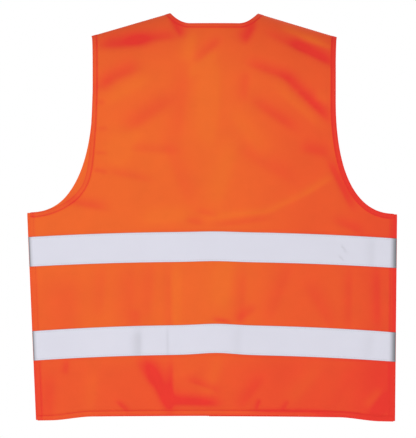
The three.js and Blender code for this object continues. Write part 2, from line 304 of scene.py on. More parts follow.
# Creases on the tapes of the back, in the same form, painted only as shade on the tape.
TAPE_CREASE_SHADES = (
    (221, -396, 8, 1.6, -58, 0.8),
    (216, -411, 6, 1.6, -48, 0.7),
    (269, -402, 24, 8, 88, 0.35),
    (-127, -556, 24, 8, 88, 0.8),
    (-77, -556, 26, 2.2, 90, 0.7),
    (40, -556, 26, 9, 86, 0.25),
    (262, -560, 24, 10, 82, 0.25),
)
GENTLE_WAVES = ((31, -9, 0.35), (-17, 22, 0.30), (8, 37, 0.22))
WAVE_HEIGHT = 0.9 * MM
# How much the folds and waves change the cloth's painted light and shade, and the palest
# painted tone that cloth takes.
FOLD_PAINTED_LIGHT = 0.9
WAVE_PAINTED_LIGHT = 0.08
PALEST_PAINTED_LIGHT = -0.7


def fold_sum(folds, x, z, as_height=False):
    """Adds up the folds at places: how hollow the cloth is, which sets its painted shade, or how
    high it stands in metres.
    """
    total = np.zeros_like(x)
    for across, up, half_length, half_width, angle, hollow in folds:
        turn = math.radians(angle)
        dx = x - across * MM
        dz = z - up * MM
        along = (dx * math.cos(turn) + dz * math.sin(turn)) / (half_length * MM)
        aside = (dz * math.cos(turn) - dx * math.sin(turn)) / (half_width * MM)
        aside = aside / np.where(aside > 0, SOFT_SIDE, SHARP_SIDE)
        weight = -VALLEY_SHARE * (half_width * MM) * hollow if as_height else hollow
        total += weight * np.exp(-(aside**2) - along**4)
    return total


def waves(x, z):
    return sum(share * np.sin(a * x + b * z + a) for a, b, share in GENTLE_WAVES)


def bump(value, reach):
    return np.exp(-((value / reach) ** 2))


def ramp(value, start, end):
    """0 at start and 1 at end, with a smooth rise between them and level beyond them."""
    share = np.clip((value - start) / (end - start), 0, 1)
    return share * share * (3 - 2 * share)


# ---------------------------------------------------------------- the vest's surface


class Pattern:
    """The surface that the cloth lies on. A place on it is x and fall: fall runs down from the
    shoulder ridge along the cloth, above 0 on the front and below 0 on the back."""

    # The cloth turns down over the shoulders in a quarter of an oval.
    shoulder_round_drop = 110 * MM
    shoulder_round_length = 136 * MM
    back_depth = 60 * MM
    front_top_depth = 58.3 * MM
    front_hem_depth = 25.7 * MM
    # Each front's fold line runs from the V neck to the hem.
    fold_top_level = -110 * MM
    fold_hem_x = 230 * MM
    neck_curve = 1.25
    armhole_roundness = 2.45
    # The higher it is, the nearer to the underarm the back's left armhole is drawn in.
    back_shift_place = 3.2
    hem_arch = 8 * MM
    # The arch of the painted shade beside the tapes, between that of the upper and the lower one.
    tape_shade_arch = 12 * MM
    # How far the cloth is smooth beside the shoulder ridge and beside the overlap.
    ridge_reach = 20 * MM
    overlap_reach = 30 * MM
    seam_step = 0.45 * MM
    # The hanging cloth's slip along +X, as (level, slip), and its slope across.
    leans = ((-0.688, 3.75 * MM), (-0.338, -2 * MM), (-0.130, 1.5 * MM), (0.0, 1.5 * MM))
    tilt_top = -0.005
    tilt_hem = -0.003
    # The tapes sag, with a peak near the middle of each, as (level, height).
    tape_peaks = ((-0.403, 1.4 * MM), (-0.563, 3.2 * MM))
    peak_x = 4 * MM
    peak_width = 38 * MM
    peak_length = 60 * MM
    tape_sag = 1.6 * MM
    sag_levels = (-0.30, -0.40)
    # The middle of the hem is lifted.
    hem_lift = 4 * MM
    hem_lift_levels = (-0.60, -0.68)
    hem_lift_ends = (0.21, 0.28)
    # Rows of points down the upper and lower armhole and down the side.
    upper_rows = 36
    lower_rows = 60
    side_rows = 100
    # The step on which slopes are measured.
    step = 0.4 * MM

    def __init__(self, sizes):
        self.sizes = sizes
        self.chest = sizes.chest_half_width
        self.hem = sizes.hem_half_width
        self.hem_level = sizes.hem_level
        self.underarm = sizes.underarm_level
        self.neck = sizes.neck_half_width
        self.slope = sizes.shoulder_drop / (sizes.shoulder_tip - self.neck)
        self.fold_top_x = float(self.front_edge_x(self.fold_top_level))

    def shoulder_level(self, x):
        reach = np.abs(x)
        arched = (reach**2 / self.neck + self.neck) / 2
        return self.slope * (self.neck - np.where(reach < self.neck, arched, reach))

    def share_to_hem(self, z):
        return np.maximum((self.underarm - z) / (self.underarm - self.hem_level), 0)

    def side_half_width(self, z):
        return self.chest + (self.hem - self.chest) * self.share_to_hem(z)

    def fold_share(self, z):
        return (self.fold_top_level - z) / (self.fold_top_level - self.hem_level)

    def fold_x(self, z):
        return self.fold_top_x + (self.fold_hem_x - self.fold_top_x) * self.fold_share(z)

    def front_edge_x(self, z):
        share = np.clip(z / self.sizes.neck_point_level, 0, 1)
        return self.neck - (self.neck + self.sizes.overlap) * share**self.neck_curve

    def arched(self, level, arch, x):
        return level + arch * (1 - (x / self.chest) ** 2)

    def depth(self, x, z, front):
        """How far from the middle plane the cloth hangs, at places below the shoulders."""
        width = self.side_half_width(z)
        share = 1 - (x / width) ** 2
        level = np.minimum(z, self.fold_top_level)
        share_at_fold = 1 - (self.fold_x(level) / self.side_half_width(level)) ** 2
        at_fold = self.front_top_depth
        at_fold = at_fold + (self.front_hem_depth - at_fold) * self.fold_share(level)
        return np.where(front, at_fold / share_at_fold, self.back_depth) * share

    def fall_at(self, x, z, face):
        """The fall of the place at a height z on a face."""
        drop = np.maximum(self.shoulder_level(x) - z, 0)
        turn = np.arccos(1 - np.minimum(drop / self.shoulder_round_drop, 1))
        below = np.maximum(drop - self.shoulder_round_drop, 0)
        return face * (self.shoulder_round_length * turn / (math.pi / 2) + below)

    def bare(self, x, fall):
        """Points on the surface before any fold."""
        front = fall >= 0
        down = np.abs(fall)
        turn = np.minimum(down / self.shoulder_round_length, 1) * math.pi / 2
        drop = self.shoulder_round_drop * (1 - np.cos(turn))
        drop = drop + np.maximum(down - self.shoulder_round_length, 0)
        z = self.shoulder_level(x) - drop
        depth = self.depth(x, z, front) * np.sin(turn)
        return np.stack([x, np.where(front, depth, -depth), z], -1)

    def slopes(self, points_at, x, fall):
        """The surface's change for each metre of x and of fall, and its normal."""
        step = self.step
        across = (points_at(x + step, fall) - points_at(x - step, fall)) / (2 * step)
        down = (points_at(x, fall + step) - points_at(x, fall - step)) / (2 * step)
        normal = np.cross(across, down)
        return across, down, normal / np.linalg.norm(normal, axis=-1, keepdims=True)

    def relief(self, x, z, fall, side):
        """How far the folded cloth stands out from the bare surface."""
        on_back = fold_sum(BACK_FOLDS, x, z, as_height=True)
        on_back = on_back + WAVE_HEIGHT * waves(x, z)
        on_front = fold_sum(FRONT_FOLDS, np.abs(x), z, as_height=True)
        on_front = on_front + WAVE_HEIGHT * waves(z, x)
        width = self.side_half_width(z)
        inside = 1 - np.minimum(np.abs(x) / width, 1) ** 6
        off_ridge = ramp(np.abs(fall), 0, self.ridge_reach)
        overlap = self.sizes.overlap
        off_overlap = ramp(np.abs(x), overlap, overlap + self.overlap_reach)
        height = np.where(fall < 0, on_back, on_front * off_overlap) * inside * off_ridge
        on_allowance = ramp(np.abs(x) - width + SEAM_ALLOWANCE, 0, MM) * (z < self.underarm)
        height += self.seam_step * on_allowance
        if side:
            lift = self.sizes.overlap_lift
            height += -side * lift * np.maximum(1 - side * x / self.fold_x(z), 0)
        return height

    def drift(self, x, z):
        """How far the hanging cloth has slipped from its pattern, along itself."""
        tilt = np.interp(z, (self.hem_level, 0), (self.tilt_hem, self.tilt_top))
        sag = self.tape_sag * ramp(z, *self.sag_levels)
        lift = (self.hem_lift + self.tape_sag) * ramp(z, *self.hem_lift_levels)
        lift = lift * (1 - ramp(np.abs(x), *self.hem_lift_ends))
        for level, height in self.tape_peaks:
            across = bump(x - self.peak_x, self.peak_width)
            lift = lift + height * across * bump(z - level, self.peak_length)
        slip = np.zeros((*x.shape, 3))
        slip[..., 0] = np.interp(z, *zip(*self.leans))
        slip[..., 2] = x * tilt + lift - sag
        return slip

    def cloth(self, x, fall, side):
        """Points on the middle of the folded cloth."""
        points = self.bare(x, fall)
        normal = self.slopes(self.bare, x, fall)[2]
        relief = self.relief(x, points[..., 2], fall, side)
        points = points + normal * relief[..., None]
        return points + self.drift(x, points[..., 2])

    def offset(self, x, fall, out, side=0):
        """Points at a distance out from the middle of the folded cloth."""
        normal = self.slopes(partial(self.cloth, side=side), x, fall)[2]
        return self.cloth(x, fall, side) + normal * np.asarray(out)[..., None]

    def tone(self, x, z, fall):
        """How deep the cloth's painted colour is: -1 is a painted highlight on crests and 1
        painted shade in hollows.
        """
        back = fold_sum(BACK_FOLDS, x, z)
        front = fold_sum(FRONT_FOLDS, np.abs(x), z)
        folds = FOLD_PAINTED_LIGHT * np.where(fall < 0, back, front) + WAVE_PAINTED_LIGHT * waves(x, z)
        tone = self.broad_painted_shade(x, z) + self.seam_painted_shade(x, z, fall) + folds
        return np.clip(tone, PALEST_PAINTED_LIGHT, 1)

    def broad_painted_shade(self, x, z):
        """Painted shade on smooth cloth: deeper at the shoulders, low down and towards +X, where
        less light falls.
        """
        smooth = -0.48
        shoulders = 0.45 - 0.25 * ramp(x, 0, 100 * MM) - 0.2 * bump(x, 45 * MM)
        shoulders = shoulders * ramp(z, -130 * MM, -10 * MM)
        low_down = 0.6 - 0.2 * ramp(x, 0, 250 * MM)
        low_down = low_down * ramp(z, -530 * MM, -610 * MM)
        right = 0.5 * ramp(x, -20 * MM, 180 * MM) + 0.3 * ramp(x, 200 * MM, 280 * MM)
        return smooth + shoulders + low_down + right

    def seam_painted_shade(self, x, z, fall):
        """Painted shade at the sides, more towards +X, at the seams, on the shoulder ridge and
        beside the tapes.
        """
        width = self.side_half_width(z)
        side = np.where(x > 0, 0.8, 0.5) * ramp(np.abs(x) / width, 0.95, 1)
        seam = 0.6 * bump(np.abs(x) - width + SEAM_ALLOWANCE, MM) * (z < self.underarm)
        ridge = 0.45 * bump(fall, 7 * MM)
        tapes = 0
        for level, _ in self.tape_peaks:
            edge = np.abs(z - self.arched(level, self.tape_shade_arch, x)) - self.sizes.tape_width / 2
            tapes = tapes + 0.25 * bump(edge - MM, 1.6 * MM)
        return side + seam + ridge + tapes

    # edges, as lists of places from the top down

    def armhole_edge(self, side, face):
        sizes = self.sizes
        narrow, narrow_level = sizes.armhole_x, sizes.armhole_level
        share = np.linspace(0, 1, self.upper_rows + 1)
        x = sizes.shoulder_tip + (narrow - sizes.shoulder_tip) * (1 - (1 - share) ** 2)
        fall = self.fall_at(np.array(narrow), narrow_level, face) * share
        power = 2 / self.armhole_roundness
        angle = np.linspace(0, 1, self.lower_rows + 1)[1:] * math.pi / 2
        low_x = self.chest - (self.chest - narrow) * np.cos(angle) ** power
        depth_share = np.sin(angle) ** power
        low_z = narrow_level + (self.underarm - narrow_level) * depth_share
        if (side, face) == (LEFT, BACK):
            drawn_in = np.sin(math.pi * depth_share**self.back_shift_place)
            low_x = low_x - sizes.back_shift * drawn_in
        low_fall = self.fall_at(low_x, low_z, face)
        return side * np.concatenate([x, low_x]), np.concatenate([fall, low_fall])

    def side_edge(self, side, face):
        z = np.linspace(self.underarm, self.hem_level, self.side_rows + 1)[1:]
        x = self.side_half_width(z)
        return side * x, self.fall_at(x, z, face)

    def outer_edge(self, side, face):
        parts = self.armhole_edge(side, face), self.side_edge(side, face)
        return tuple(np.concatenate(pair) for pair in zip(*parts))

    def back_neck_fall(self, x):
        sizes = self.sizes
        beyond = np.maximum(np.abs(x) - sizes.back_neck_flat, 0)
        share = beyond / (self.neck - sizes.back_neck_flat)
        level = -sizes.back_neck_drop * (1 - share**2)
        return np.where(np.abs(x) < self.neck, self.fall_at(x, level, BACK), 0)

    def front_edge_at(self, fall):
        """x of the right front's edge at a fall. It starts at the neck and closes in."""
        x = np.full_like(fall, self.neck)
        for _ in range(4):
            x = self.front_edge_x(self.bare(x, fall)[..., 2])
        return x


# ---------------------------------------------------------------- meshes


def placed(name, data):
    """A new object at the origin, in the scene."""
    made = bpy.data.objects.new(name, data)
    bpy.context.collection.objects.link(made)
    return made


def back_columns(pattern, edge_x, sides=64, neck=44):
    """x of the back's columns, closing up towards the neck's corners. One row per edge_x."""
    shares = np.linspace(0, 1, sides + 1)[:-1]
    outer = edge_x[:, None] + (pattern.neck - edge_x[:, None]) * shares
    inner = pattern.neck * np.sin(np.linspace(-0.5, 0.5, neck + 1) * math.pi)
    middle_columns = np.repeat(inner[None], len(edge_x), 0)
    return np.concatenate([-outer, middle_columns, outer[:, ::-1]], 1)


def back_grid(pattern):
    edge_x, edge_fall = pattern.outer_edge(RIGHT, BACK)
    x = back_columns(pattern, edge_x)
    edge_z = pattern.bare(edge_x, edge_fall)[:, 2]
    row = np.arange(len(edge_x))[:, None]
    low = pattern.fall_at(x, pattern.sizes.armhole_level, BACK)
    top = pattern.back_neck_fall(x)
    above = top + (low - top) * np.minimum(row / pattern.upper_rows, 1)
    arch = pattern.arched(0, pattern.hem_arch, x) * pattern.share_to_hem(edge_z)[:, None]
    below = pattern.fall_at(x, edge_z[:, None] + arch, BACK)
    return x, np.where(row <= pattern.upper_rows, above, below)


def front_grid(pattern, side, columns=92):
    outer_x, outer_fall = pattern.outer_edge(side, FRONT)
    level = np.minimum(pattern.bare(outer_x, outer_fall)[:, 2], pattern.sizes.armhole_level)
    level_x = pattern.front_edge_x(level)
    low_fall = pattern.fall_at(level_x, level, FRONT)
    share = np.minimum(np.arange(len(outer_x)) / pattern.upper_rows, 1)
    inner_fall = low_fall * share
    inner_x = np.where(share < 1, pattern.front_edge_at(inner_fall), level_x)
    across = np.linspace(0, 1, columns + 1)
    x = outer_x[:, None] + (side * inner_x - outer_x)[:, None] * across
    # Below the armhole's narrowest place a row keeps its level, so its fall bows.
    level_fall = pattern.fall_at(x, level[:, None], FRONT)
    straight = level_fall[:, :1] + (level_fall[:, -1:] - level_fall[:, :1]) * across
    bow = (level_fall - straight) * share[:, None]
    return x, outer_fall[:, None] + (inner_fall - outer_fall)[:, None] * across + bow


def make_piece(name, vertices, faces, material, uv, values=None):
    """A mesh object with smooth faces that point out, and a UV and values for each vertex."""
    mesh = bpy.data.meshes.new(name)
    mesh.from_pydata(vertices.tolist(), [], faces)
    mesh.validate()
    corner = np.zeros(len(mesh.loops), dtype=np.int32)
    mesh.loops.foreach_get("vertex_index", corner)
    layer = mesh.uv_layers.new(name="cloth_metres")
    layer.data.foreach_set("uv", uv[corner].astype(np.float32).ravel())
    for key, numbers in (values or {}).items():
        attribute = mesh.attributes.new(key, "FLOAT", "POINT")
        attribute.data.foreach_set("value", numbers.astype(np.float32))
    mesh.calc_loop_triangles()
    triangle = np.zeros(len(mesh.loop_triangles) * 3, dtype=np.int32)
    mesh.loop_triangles.foreach_get("vertices", triangle)
    a, b, c = vertices[triangle.reshape(-1, 3)].transpose(1, 0, 2)
    if dot(a, np.cross(b, c)).sum() < 0:
        mesh.flip_normals()
    mesh.polygons.foreach_set("use_smooth", np.ones(len(mesh.polygons), dtype=bool))
    mesh.set_sharp_from_angle(angle=math.radians(50))
    mesh.materials.append(material)
    return placed(name, mesh)


def dot(a, b):
    return np.einsum("ij,ij->i", a, b)


def layered(rows, columns):
    """Faces of a closed shell between two grids of points, the outer one first."""
    index = np.arange(2 * rows * columns).reshape(2, rows, columns)
    a, b = index[:, :-1, :-1], index[:, 1:, :-1]
    c, d = index[:, 1:, 1:], index[:, :-1, 1:]
    outer = np.stack([a[0], b[0], c[0], d[0]], -1).reshape(-1, 4)
    inner = np.stack([a[1], d[1], c[1], b[1]], -1).reshape(-1, 4)
    rim = np.concatenate(
        [index[:, 0, ::-1], index[:, :, 0], index[:, -1, :], index[:, ::-1, -1]], 1
    )
    keep = np.append(rim[0, 1:] != rim[0, :-1], True)
    rim = rim[:, keep]
    edge = np.stack([rim[0, :-1], rim[1, :-1], rim[1, 1:], rim[0, 1:]], -1)
    return np.concatenate([outer, inner, edge[:, ::-1]]).tolist()


def cloth_piece(name, pattern, grid, low, high, material, side=0, painted_shade_rule=None):
    """A piece of cloth over a grid of places, between two distances out."""
    x, fall = grid
    points = [pattern.offset(x, fall, out, side) for out in (high, low)]
    vertices = np.concatenate([layer.reshape(-1, 3) for layer in points])
    uv = np.tile(np.stack([x.ravel(), fall.ravel()], -1), (2, 1))
    level = pattern.bare(x, fall)[..., 2]
    # Each vertex carries the cloth's painted light and shade.
    values = {"tone": np.tile(pattern.tone(x, level, fall).ravel(), 2)}
    if painted_shade_rule:
        # A tape's turn values are its painted shade.
        values["turn"] = np.tile(painted_shade_rule(pattern, x, level).ravel(), 2)
    return make_piece(name, vertices, layered(*x.shape), material, uv, values)


def binding_profile(sizes):
    """A folded binding's outline: distance in from the cloth's edge, and distance out from its
    middle. A row of stitches pulls both legs in."""
    bore = sizes.cloth / 2 + 0.05 * MM
    skin = bore + sizes.binding
    width = sizes.binding_width
    stitch = width - STITCH_INSET
    leg = [
        (width, skin - 0.12 * MM),
        (width - 0.7 * MM, skin),
        (stitch, skin - 0.16 * MM),
        (stitch - 0.8 * MM, skin + 0.03 * MM),
        (width / 2, skin + 0.08 * MM),
        (0.8 * MM, skin + 0.03 * MM),
    ]
    turns = np.linspace(0, math.pi, 7)
    nose = [(-0.2 * MM - skin * math.sin(t), skin * math.cos(t)) for t in turns]
    inside = [(-0.2 * MM - bore * math.sin(t), bore * math.cos(t)) for t in turns[::-2]]
    under = [(b, -n) for b, n in reversed(leg)]
    return np.array([*leg, *nose, *under, (width, -bore), *inside, (width, bore)])


def inward(pattern, x, fall, cloth_side, side):
    """For a path along an edge: the change of place for each metre in from the edge."""
    points_at = partial(pattern.cloth, side=side)
    across, down, normal = pattern.slopes(points_at, x, fall)
    along = np.gradient(points_at(x, fall), axis=0)
    along /= np.linalg.norm(along, axis=1, keepdims=True)
    direction = np.cross(normal, along) * cloth_side
    aa, ad, dd = dot(across, across), dot(across, down), dot(down, down)
    a, d = dot(across, direction), dot(down, direction)
    scale = 1 / (aa * dd - ad * ad)
    return (a * dd - d * ad) * scale, (d * aa - a * ad) * scale


def run_along(points):
    """The distance along a line of points, from its start."""
    return np.append(0, np.cumsum(np.linalg.norm(np.diff(points, axis=0), axis=1)))


def binding_redness_and_shade(path, redness_and_shade):
    """How much redder a binding is than the cloth, place by place: partly its own redder colour,
    partly painted shade, which is most on the right of the back; paler on the left front's
    armhole."""
    x, fall = path
    shade_on_right = 0.4 * ramp(x, 150 * MM, 190 * MM) * (fall < 0)
    on_left = 0.9 * ramp(x, -190 * MM, -220 * MM) * (fall > 0)
    return redness_and_shade + shade_on_right - on_left


def binding_piece(name, pattern, path, cloth_side, material, side=0, redness_and_shade=0.25):
    x, fall = path
    dx, dfall = inward(pattern, x, fall, cloth_side, side)
    profile = binding_profile(pattern.sizes)
    reach, out = profile.T
    grid_x = x[:, None] + dx[:, None] * reach
    grid_fall = fall[:, None] + dfall[:, None] * reach
    points = pattern.offset(grid_x, grid_fall, out, side)
    index = np.arange(grid_x.size).reshape(grid_x.shape)
    turned = np.roll(index, -1, axis=1)
    quads = [index[:-1], turned[:-1], turned[1:], index[1:]]
    faces = np.stack(quads, -1).reshape(-1, 4).tolist()
    faces += [index[0, ::-1].tolist(), index[-1].tolist()]
    run = run_along(pattern.cloth(x, fall, side))
    uv = np.stack(np.meshgrid(run, run_along(profile), indexing="ij"), -1).reshape(-1, 2)
    level = pattern.bare(grid_x, grid_fall)[..., 2]
    cloth_painted_light = 0.7 * pattern.tone(grid_x, level, grid_fall)
    # Painted shade in the groove along the stitch row and on the binding's folded edge.
    groove_painted_shade = 0.6 * bump(reach - pattern.sizes.binding_width + STITCH_INSET, 1.2 * MM)
    nose_painted_shade = 0.4 * bump(reach, MM)
    tone = cloth_painted_light + binding_redness_and_shade(path, redness_and_shade)[:, None] + groove_painted_shade + nose_painted_shade
    return make_piece(name, points.reshape(-1, 3), faces, material, uv, {"tone": tone.ravel()})


# ---------------------------------------------------------------- node trees


def add_node(tree, kind, settings=None, **inputs):
    """A new node. Its sockets hold these numbers or follow these other nodes' outputs."""
    node = tree.nodes.new(kind)
    for key, value in (settings or {}).items():
        setattr(node, key, value)
    for key, value in inputs.items():
        socket = node.inputs[key.replace("_", " ")]
        if isinstance(value, NodeSocket):
            tree.links.new(value, socket)
        else:
            socket.default_value = value
    return node


def new_tree(name, **inputs):
    """An empty geometry node tree: geometry, these values and a material in, geometry out."""
    tree = bpy.data.node_groups.new(name, "GeometryNodeTree")
    for label, kind in {"Geometry": "Geometry", **inputs, "Material": "Material"}.items():
        tree.interface.new_socket(label, in_out="INPUT", socket_type=f"NodeSocket{kind}")
    tree.interface.new_socket("Geometry", in_out="OUTPUT", socket_type="NodeSocketGeometry")
    return tree, tree.nodes.new("NodeGroupInput").outputs


def finish_tree(tree, given, geometry):
    """Ends a tree: real geometry, smooth faces and its material."""
    real = add_node(tree, "GeometryNodeRealizeInstances", Geometry=geometry)
    smooth = add_node(tree, "GeometryNodeSetShadeSmooth", Geometry=real.outputs[0])
    material = given["Material"]
    paint = add_node(
        tree, "GeometryNodeSetMaterial", Geometry=smooth.outputs[0], Material=material
    )
    add_node(tree, "NodeGroupOutput", Geometry=paint.outputs[0])
    return tree


def stitch_tree():
    """Lays a stitch on each step of the lines that it is given."""
    tree, given = new_tree("vest_stitches", Pitch="Float", Size="Vector")
    curve = add_node(tree, "GeometryNodeMeshToCurve", Mesh=given["Geometry"])
    steps = add_node(
        tree,
        "GeometryNodeResampleCurve",
        {"mode": "LENGTH"},
        Curve=curve.outputs[0],
        Length=given["Pitch"],
    )
    tangent = add_node(tree, "GeometryNodeInputTangent")
    align = add_node(
        tree, "FunctionNodeAlignRotationToVector", {"axis": "Z"}, Vector=tangent.outputs[0]
    )
    bead = add_node(tree, "GeometryNodeMeshIcoSphere", Radius=1, Subdivisions=1)
    place = add_node(
        tree,
        "GeometryNodeInstanceOnPoints",
        Points=steps.outputs[0],
        Instance=bead.outputs["Mesh"],
        Rotation=align.outputs[0],
        Scale=given["Size"],
    )
    return finish_tree(tree, given, place.outputs[0])


def pile_tree():
    """Plants bent bristles, as of hook or loop tape, on the faces that it is given."""
    tree, given = new_tree(
        "vest_fastener_pile", Density="Float", Radius="Float", Sweep="Float", Thickness="Float"
    )
    points = add_node(
        tree,
        "GeometryNodeDistributePointsOnFaces",
        Mesh=given["Geometry"],
        Density=given["Density"],
        Seed=4,
    )
    arc = add_node(
        tree,
        "GeometryNodeCurveArc",
        Resolution=6,
        Radius=given["Radius"],
        Sweep_Angle=given["Sweep"],
    )
    ring = add_node(
        tree, "GeometryNodeCurvePrimitiveCircle", Resolution=4, Radius=given["Thickness"]
    )
    tube = add_node(
        tree,
        "GeometryNodeCurveToMesh",
        Curve=arc.outputs[0],
        Profile_Curve=ring.outputs[0],
        Fill_Caps=True,
    )
    upright = add_node(
        tree, "GeometryNodeTransform", Geometry=tube.outputs[0], Rotation=(math.pi / 2, 0, 0)
    )
    place = add_node(
        tree,
        "GeometryNodeInstanceOnPoints",
        Points=points.outputs["Points"],
        Rotation=points.outputs["Rotation"],
        Instance=upright.outputs[0],
    )
    return finish_tree(tree, given, place.outputs[0])


def line_mesh(name, lines):
    """A mesh of open lines, each an array of points."""
    mesh = bpy.data.meshes.new(name)
    edges, start = [], 0
    for line in lines:
        edges += [(start + k, start + k + 1) for k in range(len(line) - 1)]
        start += len(line)
    mesh.from_pydata(np.concatenate(lines).tolist(), edges, [])
    return mesh


def grown(name, mesh, tree, values):
    """Runs a tree on a mesh, and returns the result as a plain mesh object."""
    seed = placed(f"{name}_seed", mesh)
    modifier = seed.modifiers.new("tree", "NODES")
    modifier.node_group = tree
    for item in tree.interface.items_tree:
        if item.in_out == "INPUT" and item.name in values:
            modifier[item.identifier] = values[item.name]
    seed.update_tag()
    done = seed.evaluated_get(bpy.context.evaluated_depsgraph_get())
    made = bpy.data.meshes.new_from_object(done)
    made.name = name
    seed.modifiers.remove(modifier)
    bpy.data.objects.remove(seed)
    return placed(name, made)


# ---------------------------------------------------------------- materials

# A wave texture of scale 1 has its bands this far apart, in metres.
BAND_SPACING = 2 * math.pi / 20
# Fluorescent cloth gives back some of the light as red. Here that is a steady painted red
# glow on the cloth, thread and patches, which also keeps shaded cloth red.
GLOW = (1.0, 0.03, 0.01, 1)
CLOTH_GLOW = 0.13
PATCH_GLOW = 0.10


def new_material(name, **sockets):
    """A material with one Principled shader whose sockets hold these values."""
    material = bpy.data.materials.new(name)
    material.use_nodes = True
    shader = material.node_tree.nodes["Principled BSDF"]
    for key, value in sockets.items():
        shader.inputs[key.replace("_", " ")].default_value = value
    return material, material.node_tree, shader


def weave_height(tree, across, along, mix_share=0.5):
    """The height of a weave whose threads lie at these spacings, in metres."""
    place = add_node(tree, "ShaderNodeTexCoord").outputs["UV"]
    heights = []
    for direction, spacing in (("X", across), ("Y", along)):
        wave = add_node(
            tree,
            "ShaderNodeTexWave",
            {"bands_direction": direction},
            Vector=place,
            Scale=BAND_SPACING / spacing,
            Distortion=0.6,
            Detail=1,
        )
        heights.append(wave.outputs["Fac"])
    return add_node(tree, "ShaderNodeMix", Factor=mix_share, A=heights[0], B=heights[1]).outputs[0]


def add_bump(tree, shader, height, distance, strength):
    made = add_node(
        tree, "ShaderNodeBump", Distance=distance, Strength=strength, Height=height
    )
    tree.links.new(made.outputs["Normal"], shader.inputs["Normal"])


def colour_ramp(tree, value, stops):
    """Colours over a value, as (place, colour) stops."""
    node = add_node(tree, "ShaderNodeValToRGB", Fac=value)
    elements = node.color_ramp.elements
    while len(elements) < len(stops):
        elements.new(0.5)
    for element, (place, shade) in zip(elements, stops):
        element.position = place
        element.color = (*shade, 1)
    return node.outputs["Color"]


def plain(tree, shade):
    node = add_node(tree, "ShaderNodeRGB")
    node.outputs[0].default_value = (*shade, 1)
    return node.outputs[0]


def attribute(tree, name):
    return add_node(tree, "ShaderNodeAttribute", {"attribute_name": name}).outputs["Fac"]


def noise(tree, scale, detail=3.0, source="Object"):
    place = add_node(tree, "ShaderNodeTexCoord").outputs[source]
    texture = add_node(tree, "ShaderNodeTexNoise", Vector=place, Scale=scale, Detail=detail)
    return texture.outputs["Fac"]


def shaded(tree, shade, value, low, high):
    """A colour times low where a value is 0 and times high where it is 1."""
    share = add_node(tree, "ShaderNodeMapRange", Value=value, To_Min=low, To_Max=high)
    scaled = add_node(
        tree,
        "ShaderNodeVectorMath",
        {"operation": "SCALE"},
        Vector=shade,
        Scale=share.outputs["Result"],
    )
    return scaled.outputs["Vector"]


def fluorescent_material(colours, name, across, along, relief):
    """Fluorescent cloth: threads at these spacings, a deeper red painted as shade in the hollows
    of folds, a paler one painted as highlight on their crests, and a painted red glow.
    """
    material, tree, shader = new_material(
        name,
        Roughness=0.78,
        Emission_Color=GLOW,
        Emission_Strength=CLOTH_GLOW,
        Sheen_Weight=0.02,
        Sheen_Roughness=0.5,
        Specular_IOR_Level=0.2,
    )
    tone = add_node(tree, "ShaderNodeMapRange", Value=attribute(tree, "tone"), From_Min=-1)
    # From the palest, for the front's edge behind the back, through a painted highlight and plain
    # cloth to painted shade.
    stops = [
        (0.0, colours.turned_cloth),
        (0.15, colours.lit_cloth),
        (0.5, colours.cloth),
        (0.95, colours.hollow_shade_cloth),
    ]
    weave = weave_height(tree, across, along)
    # Painted shade between the threads of the weave, from its height.
    shade = shaded(tree, colour_ramp(tree, tone.outputs["Result"], stops), weave, 0.93, 1.04)
    shade = shaded(tree, shade, noise(tree, 26.0), 0.94, 1.06)
    tree.links.new(shade, shader.inputs["Base Color"])
    add_bump(tree, shader, weave, relief, 0.5)
    return material


def knit_material(colours):
    return fluorescent_material(colours, "fluorescent_knit", 0.9 * MM, 1.1 * MM, 0.12 * MM)


def binding_material(colours):
    return fluorescent_material(colours, "edge_binding", 0.7 * MM, 1.6 * MM, 0.2 * MM)


def ribbed_material(name, shade, glow):
    """Close ribs of coloured yarn, as of thread and of hook and loop tape."""
    # The thread and patches get a steady painted red glow.
    material, tree, shader = new_material(
        name,
        Roughness=0.6,
        Emission_Color=GLOW,
        Emission_Strength=glow,
        Specular_IOR_Level=0.15,
    )
    weave = weave_height(tree, 0.5 * MM, 0.8 * MM, 0.3)
    # Painted shade between the ribs, from their height.
    tinted = shaded(tree, plain(tree, shade), weave, 0.86, 1.08)
    tinted = shaded(tree, tinted, noise(tree, 40.0), 0.92, 1.06)
    tree.links.new(tinted, shader.inputs["Base Color"])
    add_bump(tree, shader, weave, 0.15 * MM, 0.6)
    return material


def thread_material(colours):
    return ribbed_material("orange_thread", colours.thread, CLOTH_GLOW)


def patch_material(colours):
    return ribbed_material("hook_and_loop", colours.hooks, PATCH_GLOW)


def tape_material(colours):
    """Retroreflective tape: a fine bead grain on silver, grey painted as shade where it turns at
    a side seam, in its creases and along its edges.
    """
    material, tree, shader = new_material(
        "reflective_tape", Roughness=0.42, Specular_IOR_Level=0.4
    )
    # The turn attribute paints shade on the tape.
    stops = [(0.0, colours.tape), (1.0, colours.tape_shade)]
    beads = noise(tree, 2600.0, 1.0, "UV")
    shade = shaded(tree, colour_ramp(tree, attribute(tree, "turn"), stops), beads, 0.93, 1.05)
    shade = shaded(tree, shade, noise(tree, 14.0), 0.97, 1.03)
    tree.links.new(shade, shader.inputs["Base Color"])
    add_bump(tree, shader, beads, 0.06 * MM, 0.4)
    return material


def tape_thread_material(colours):
    """Twisted polyester thread."""
    material, tree, shader = new_material(
        "silver_thread", Roughness=0.5, Specular_IOR_Level=0.4
    )
    twist = noise(tree, 900.0, 2.0)
    shade = shaded(tree, plain(tree, colours.tape_thread), twist, 0.8, 1.15)
    tree.links.new(shade, shader.inputs["Base Color"])
    return material


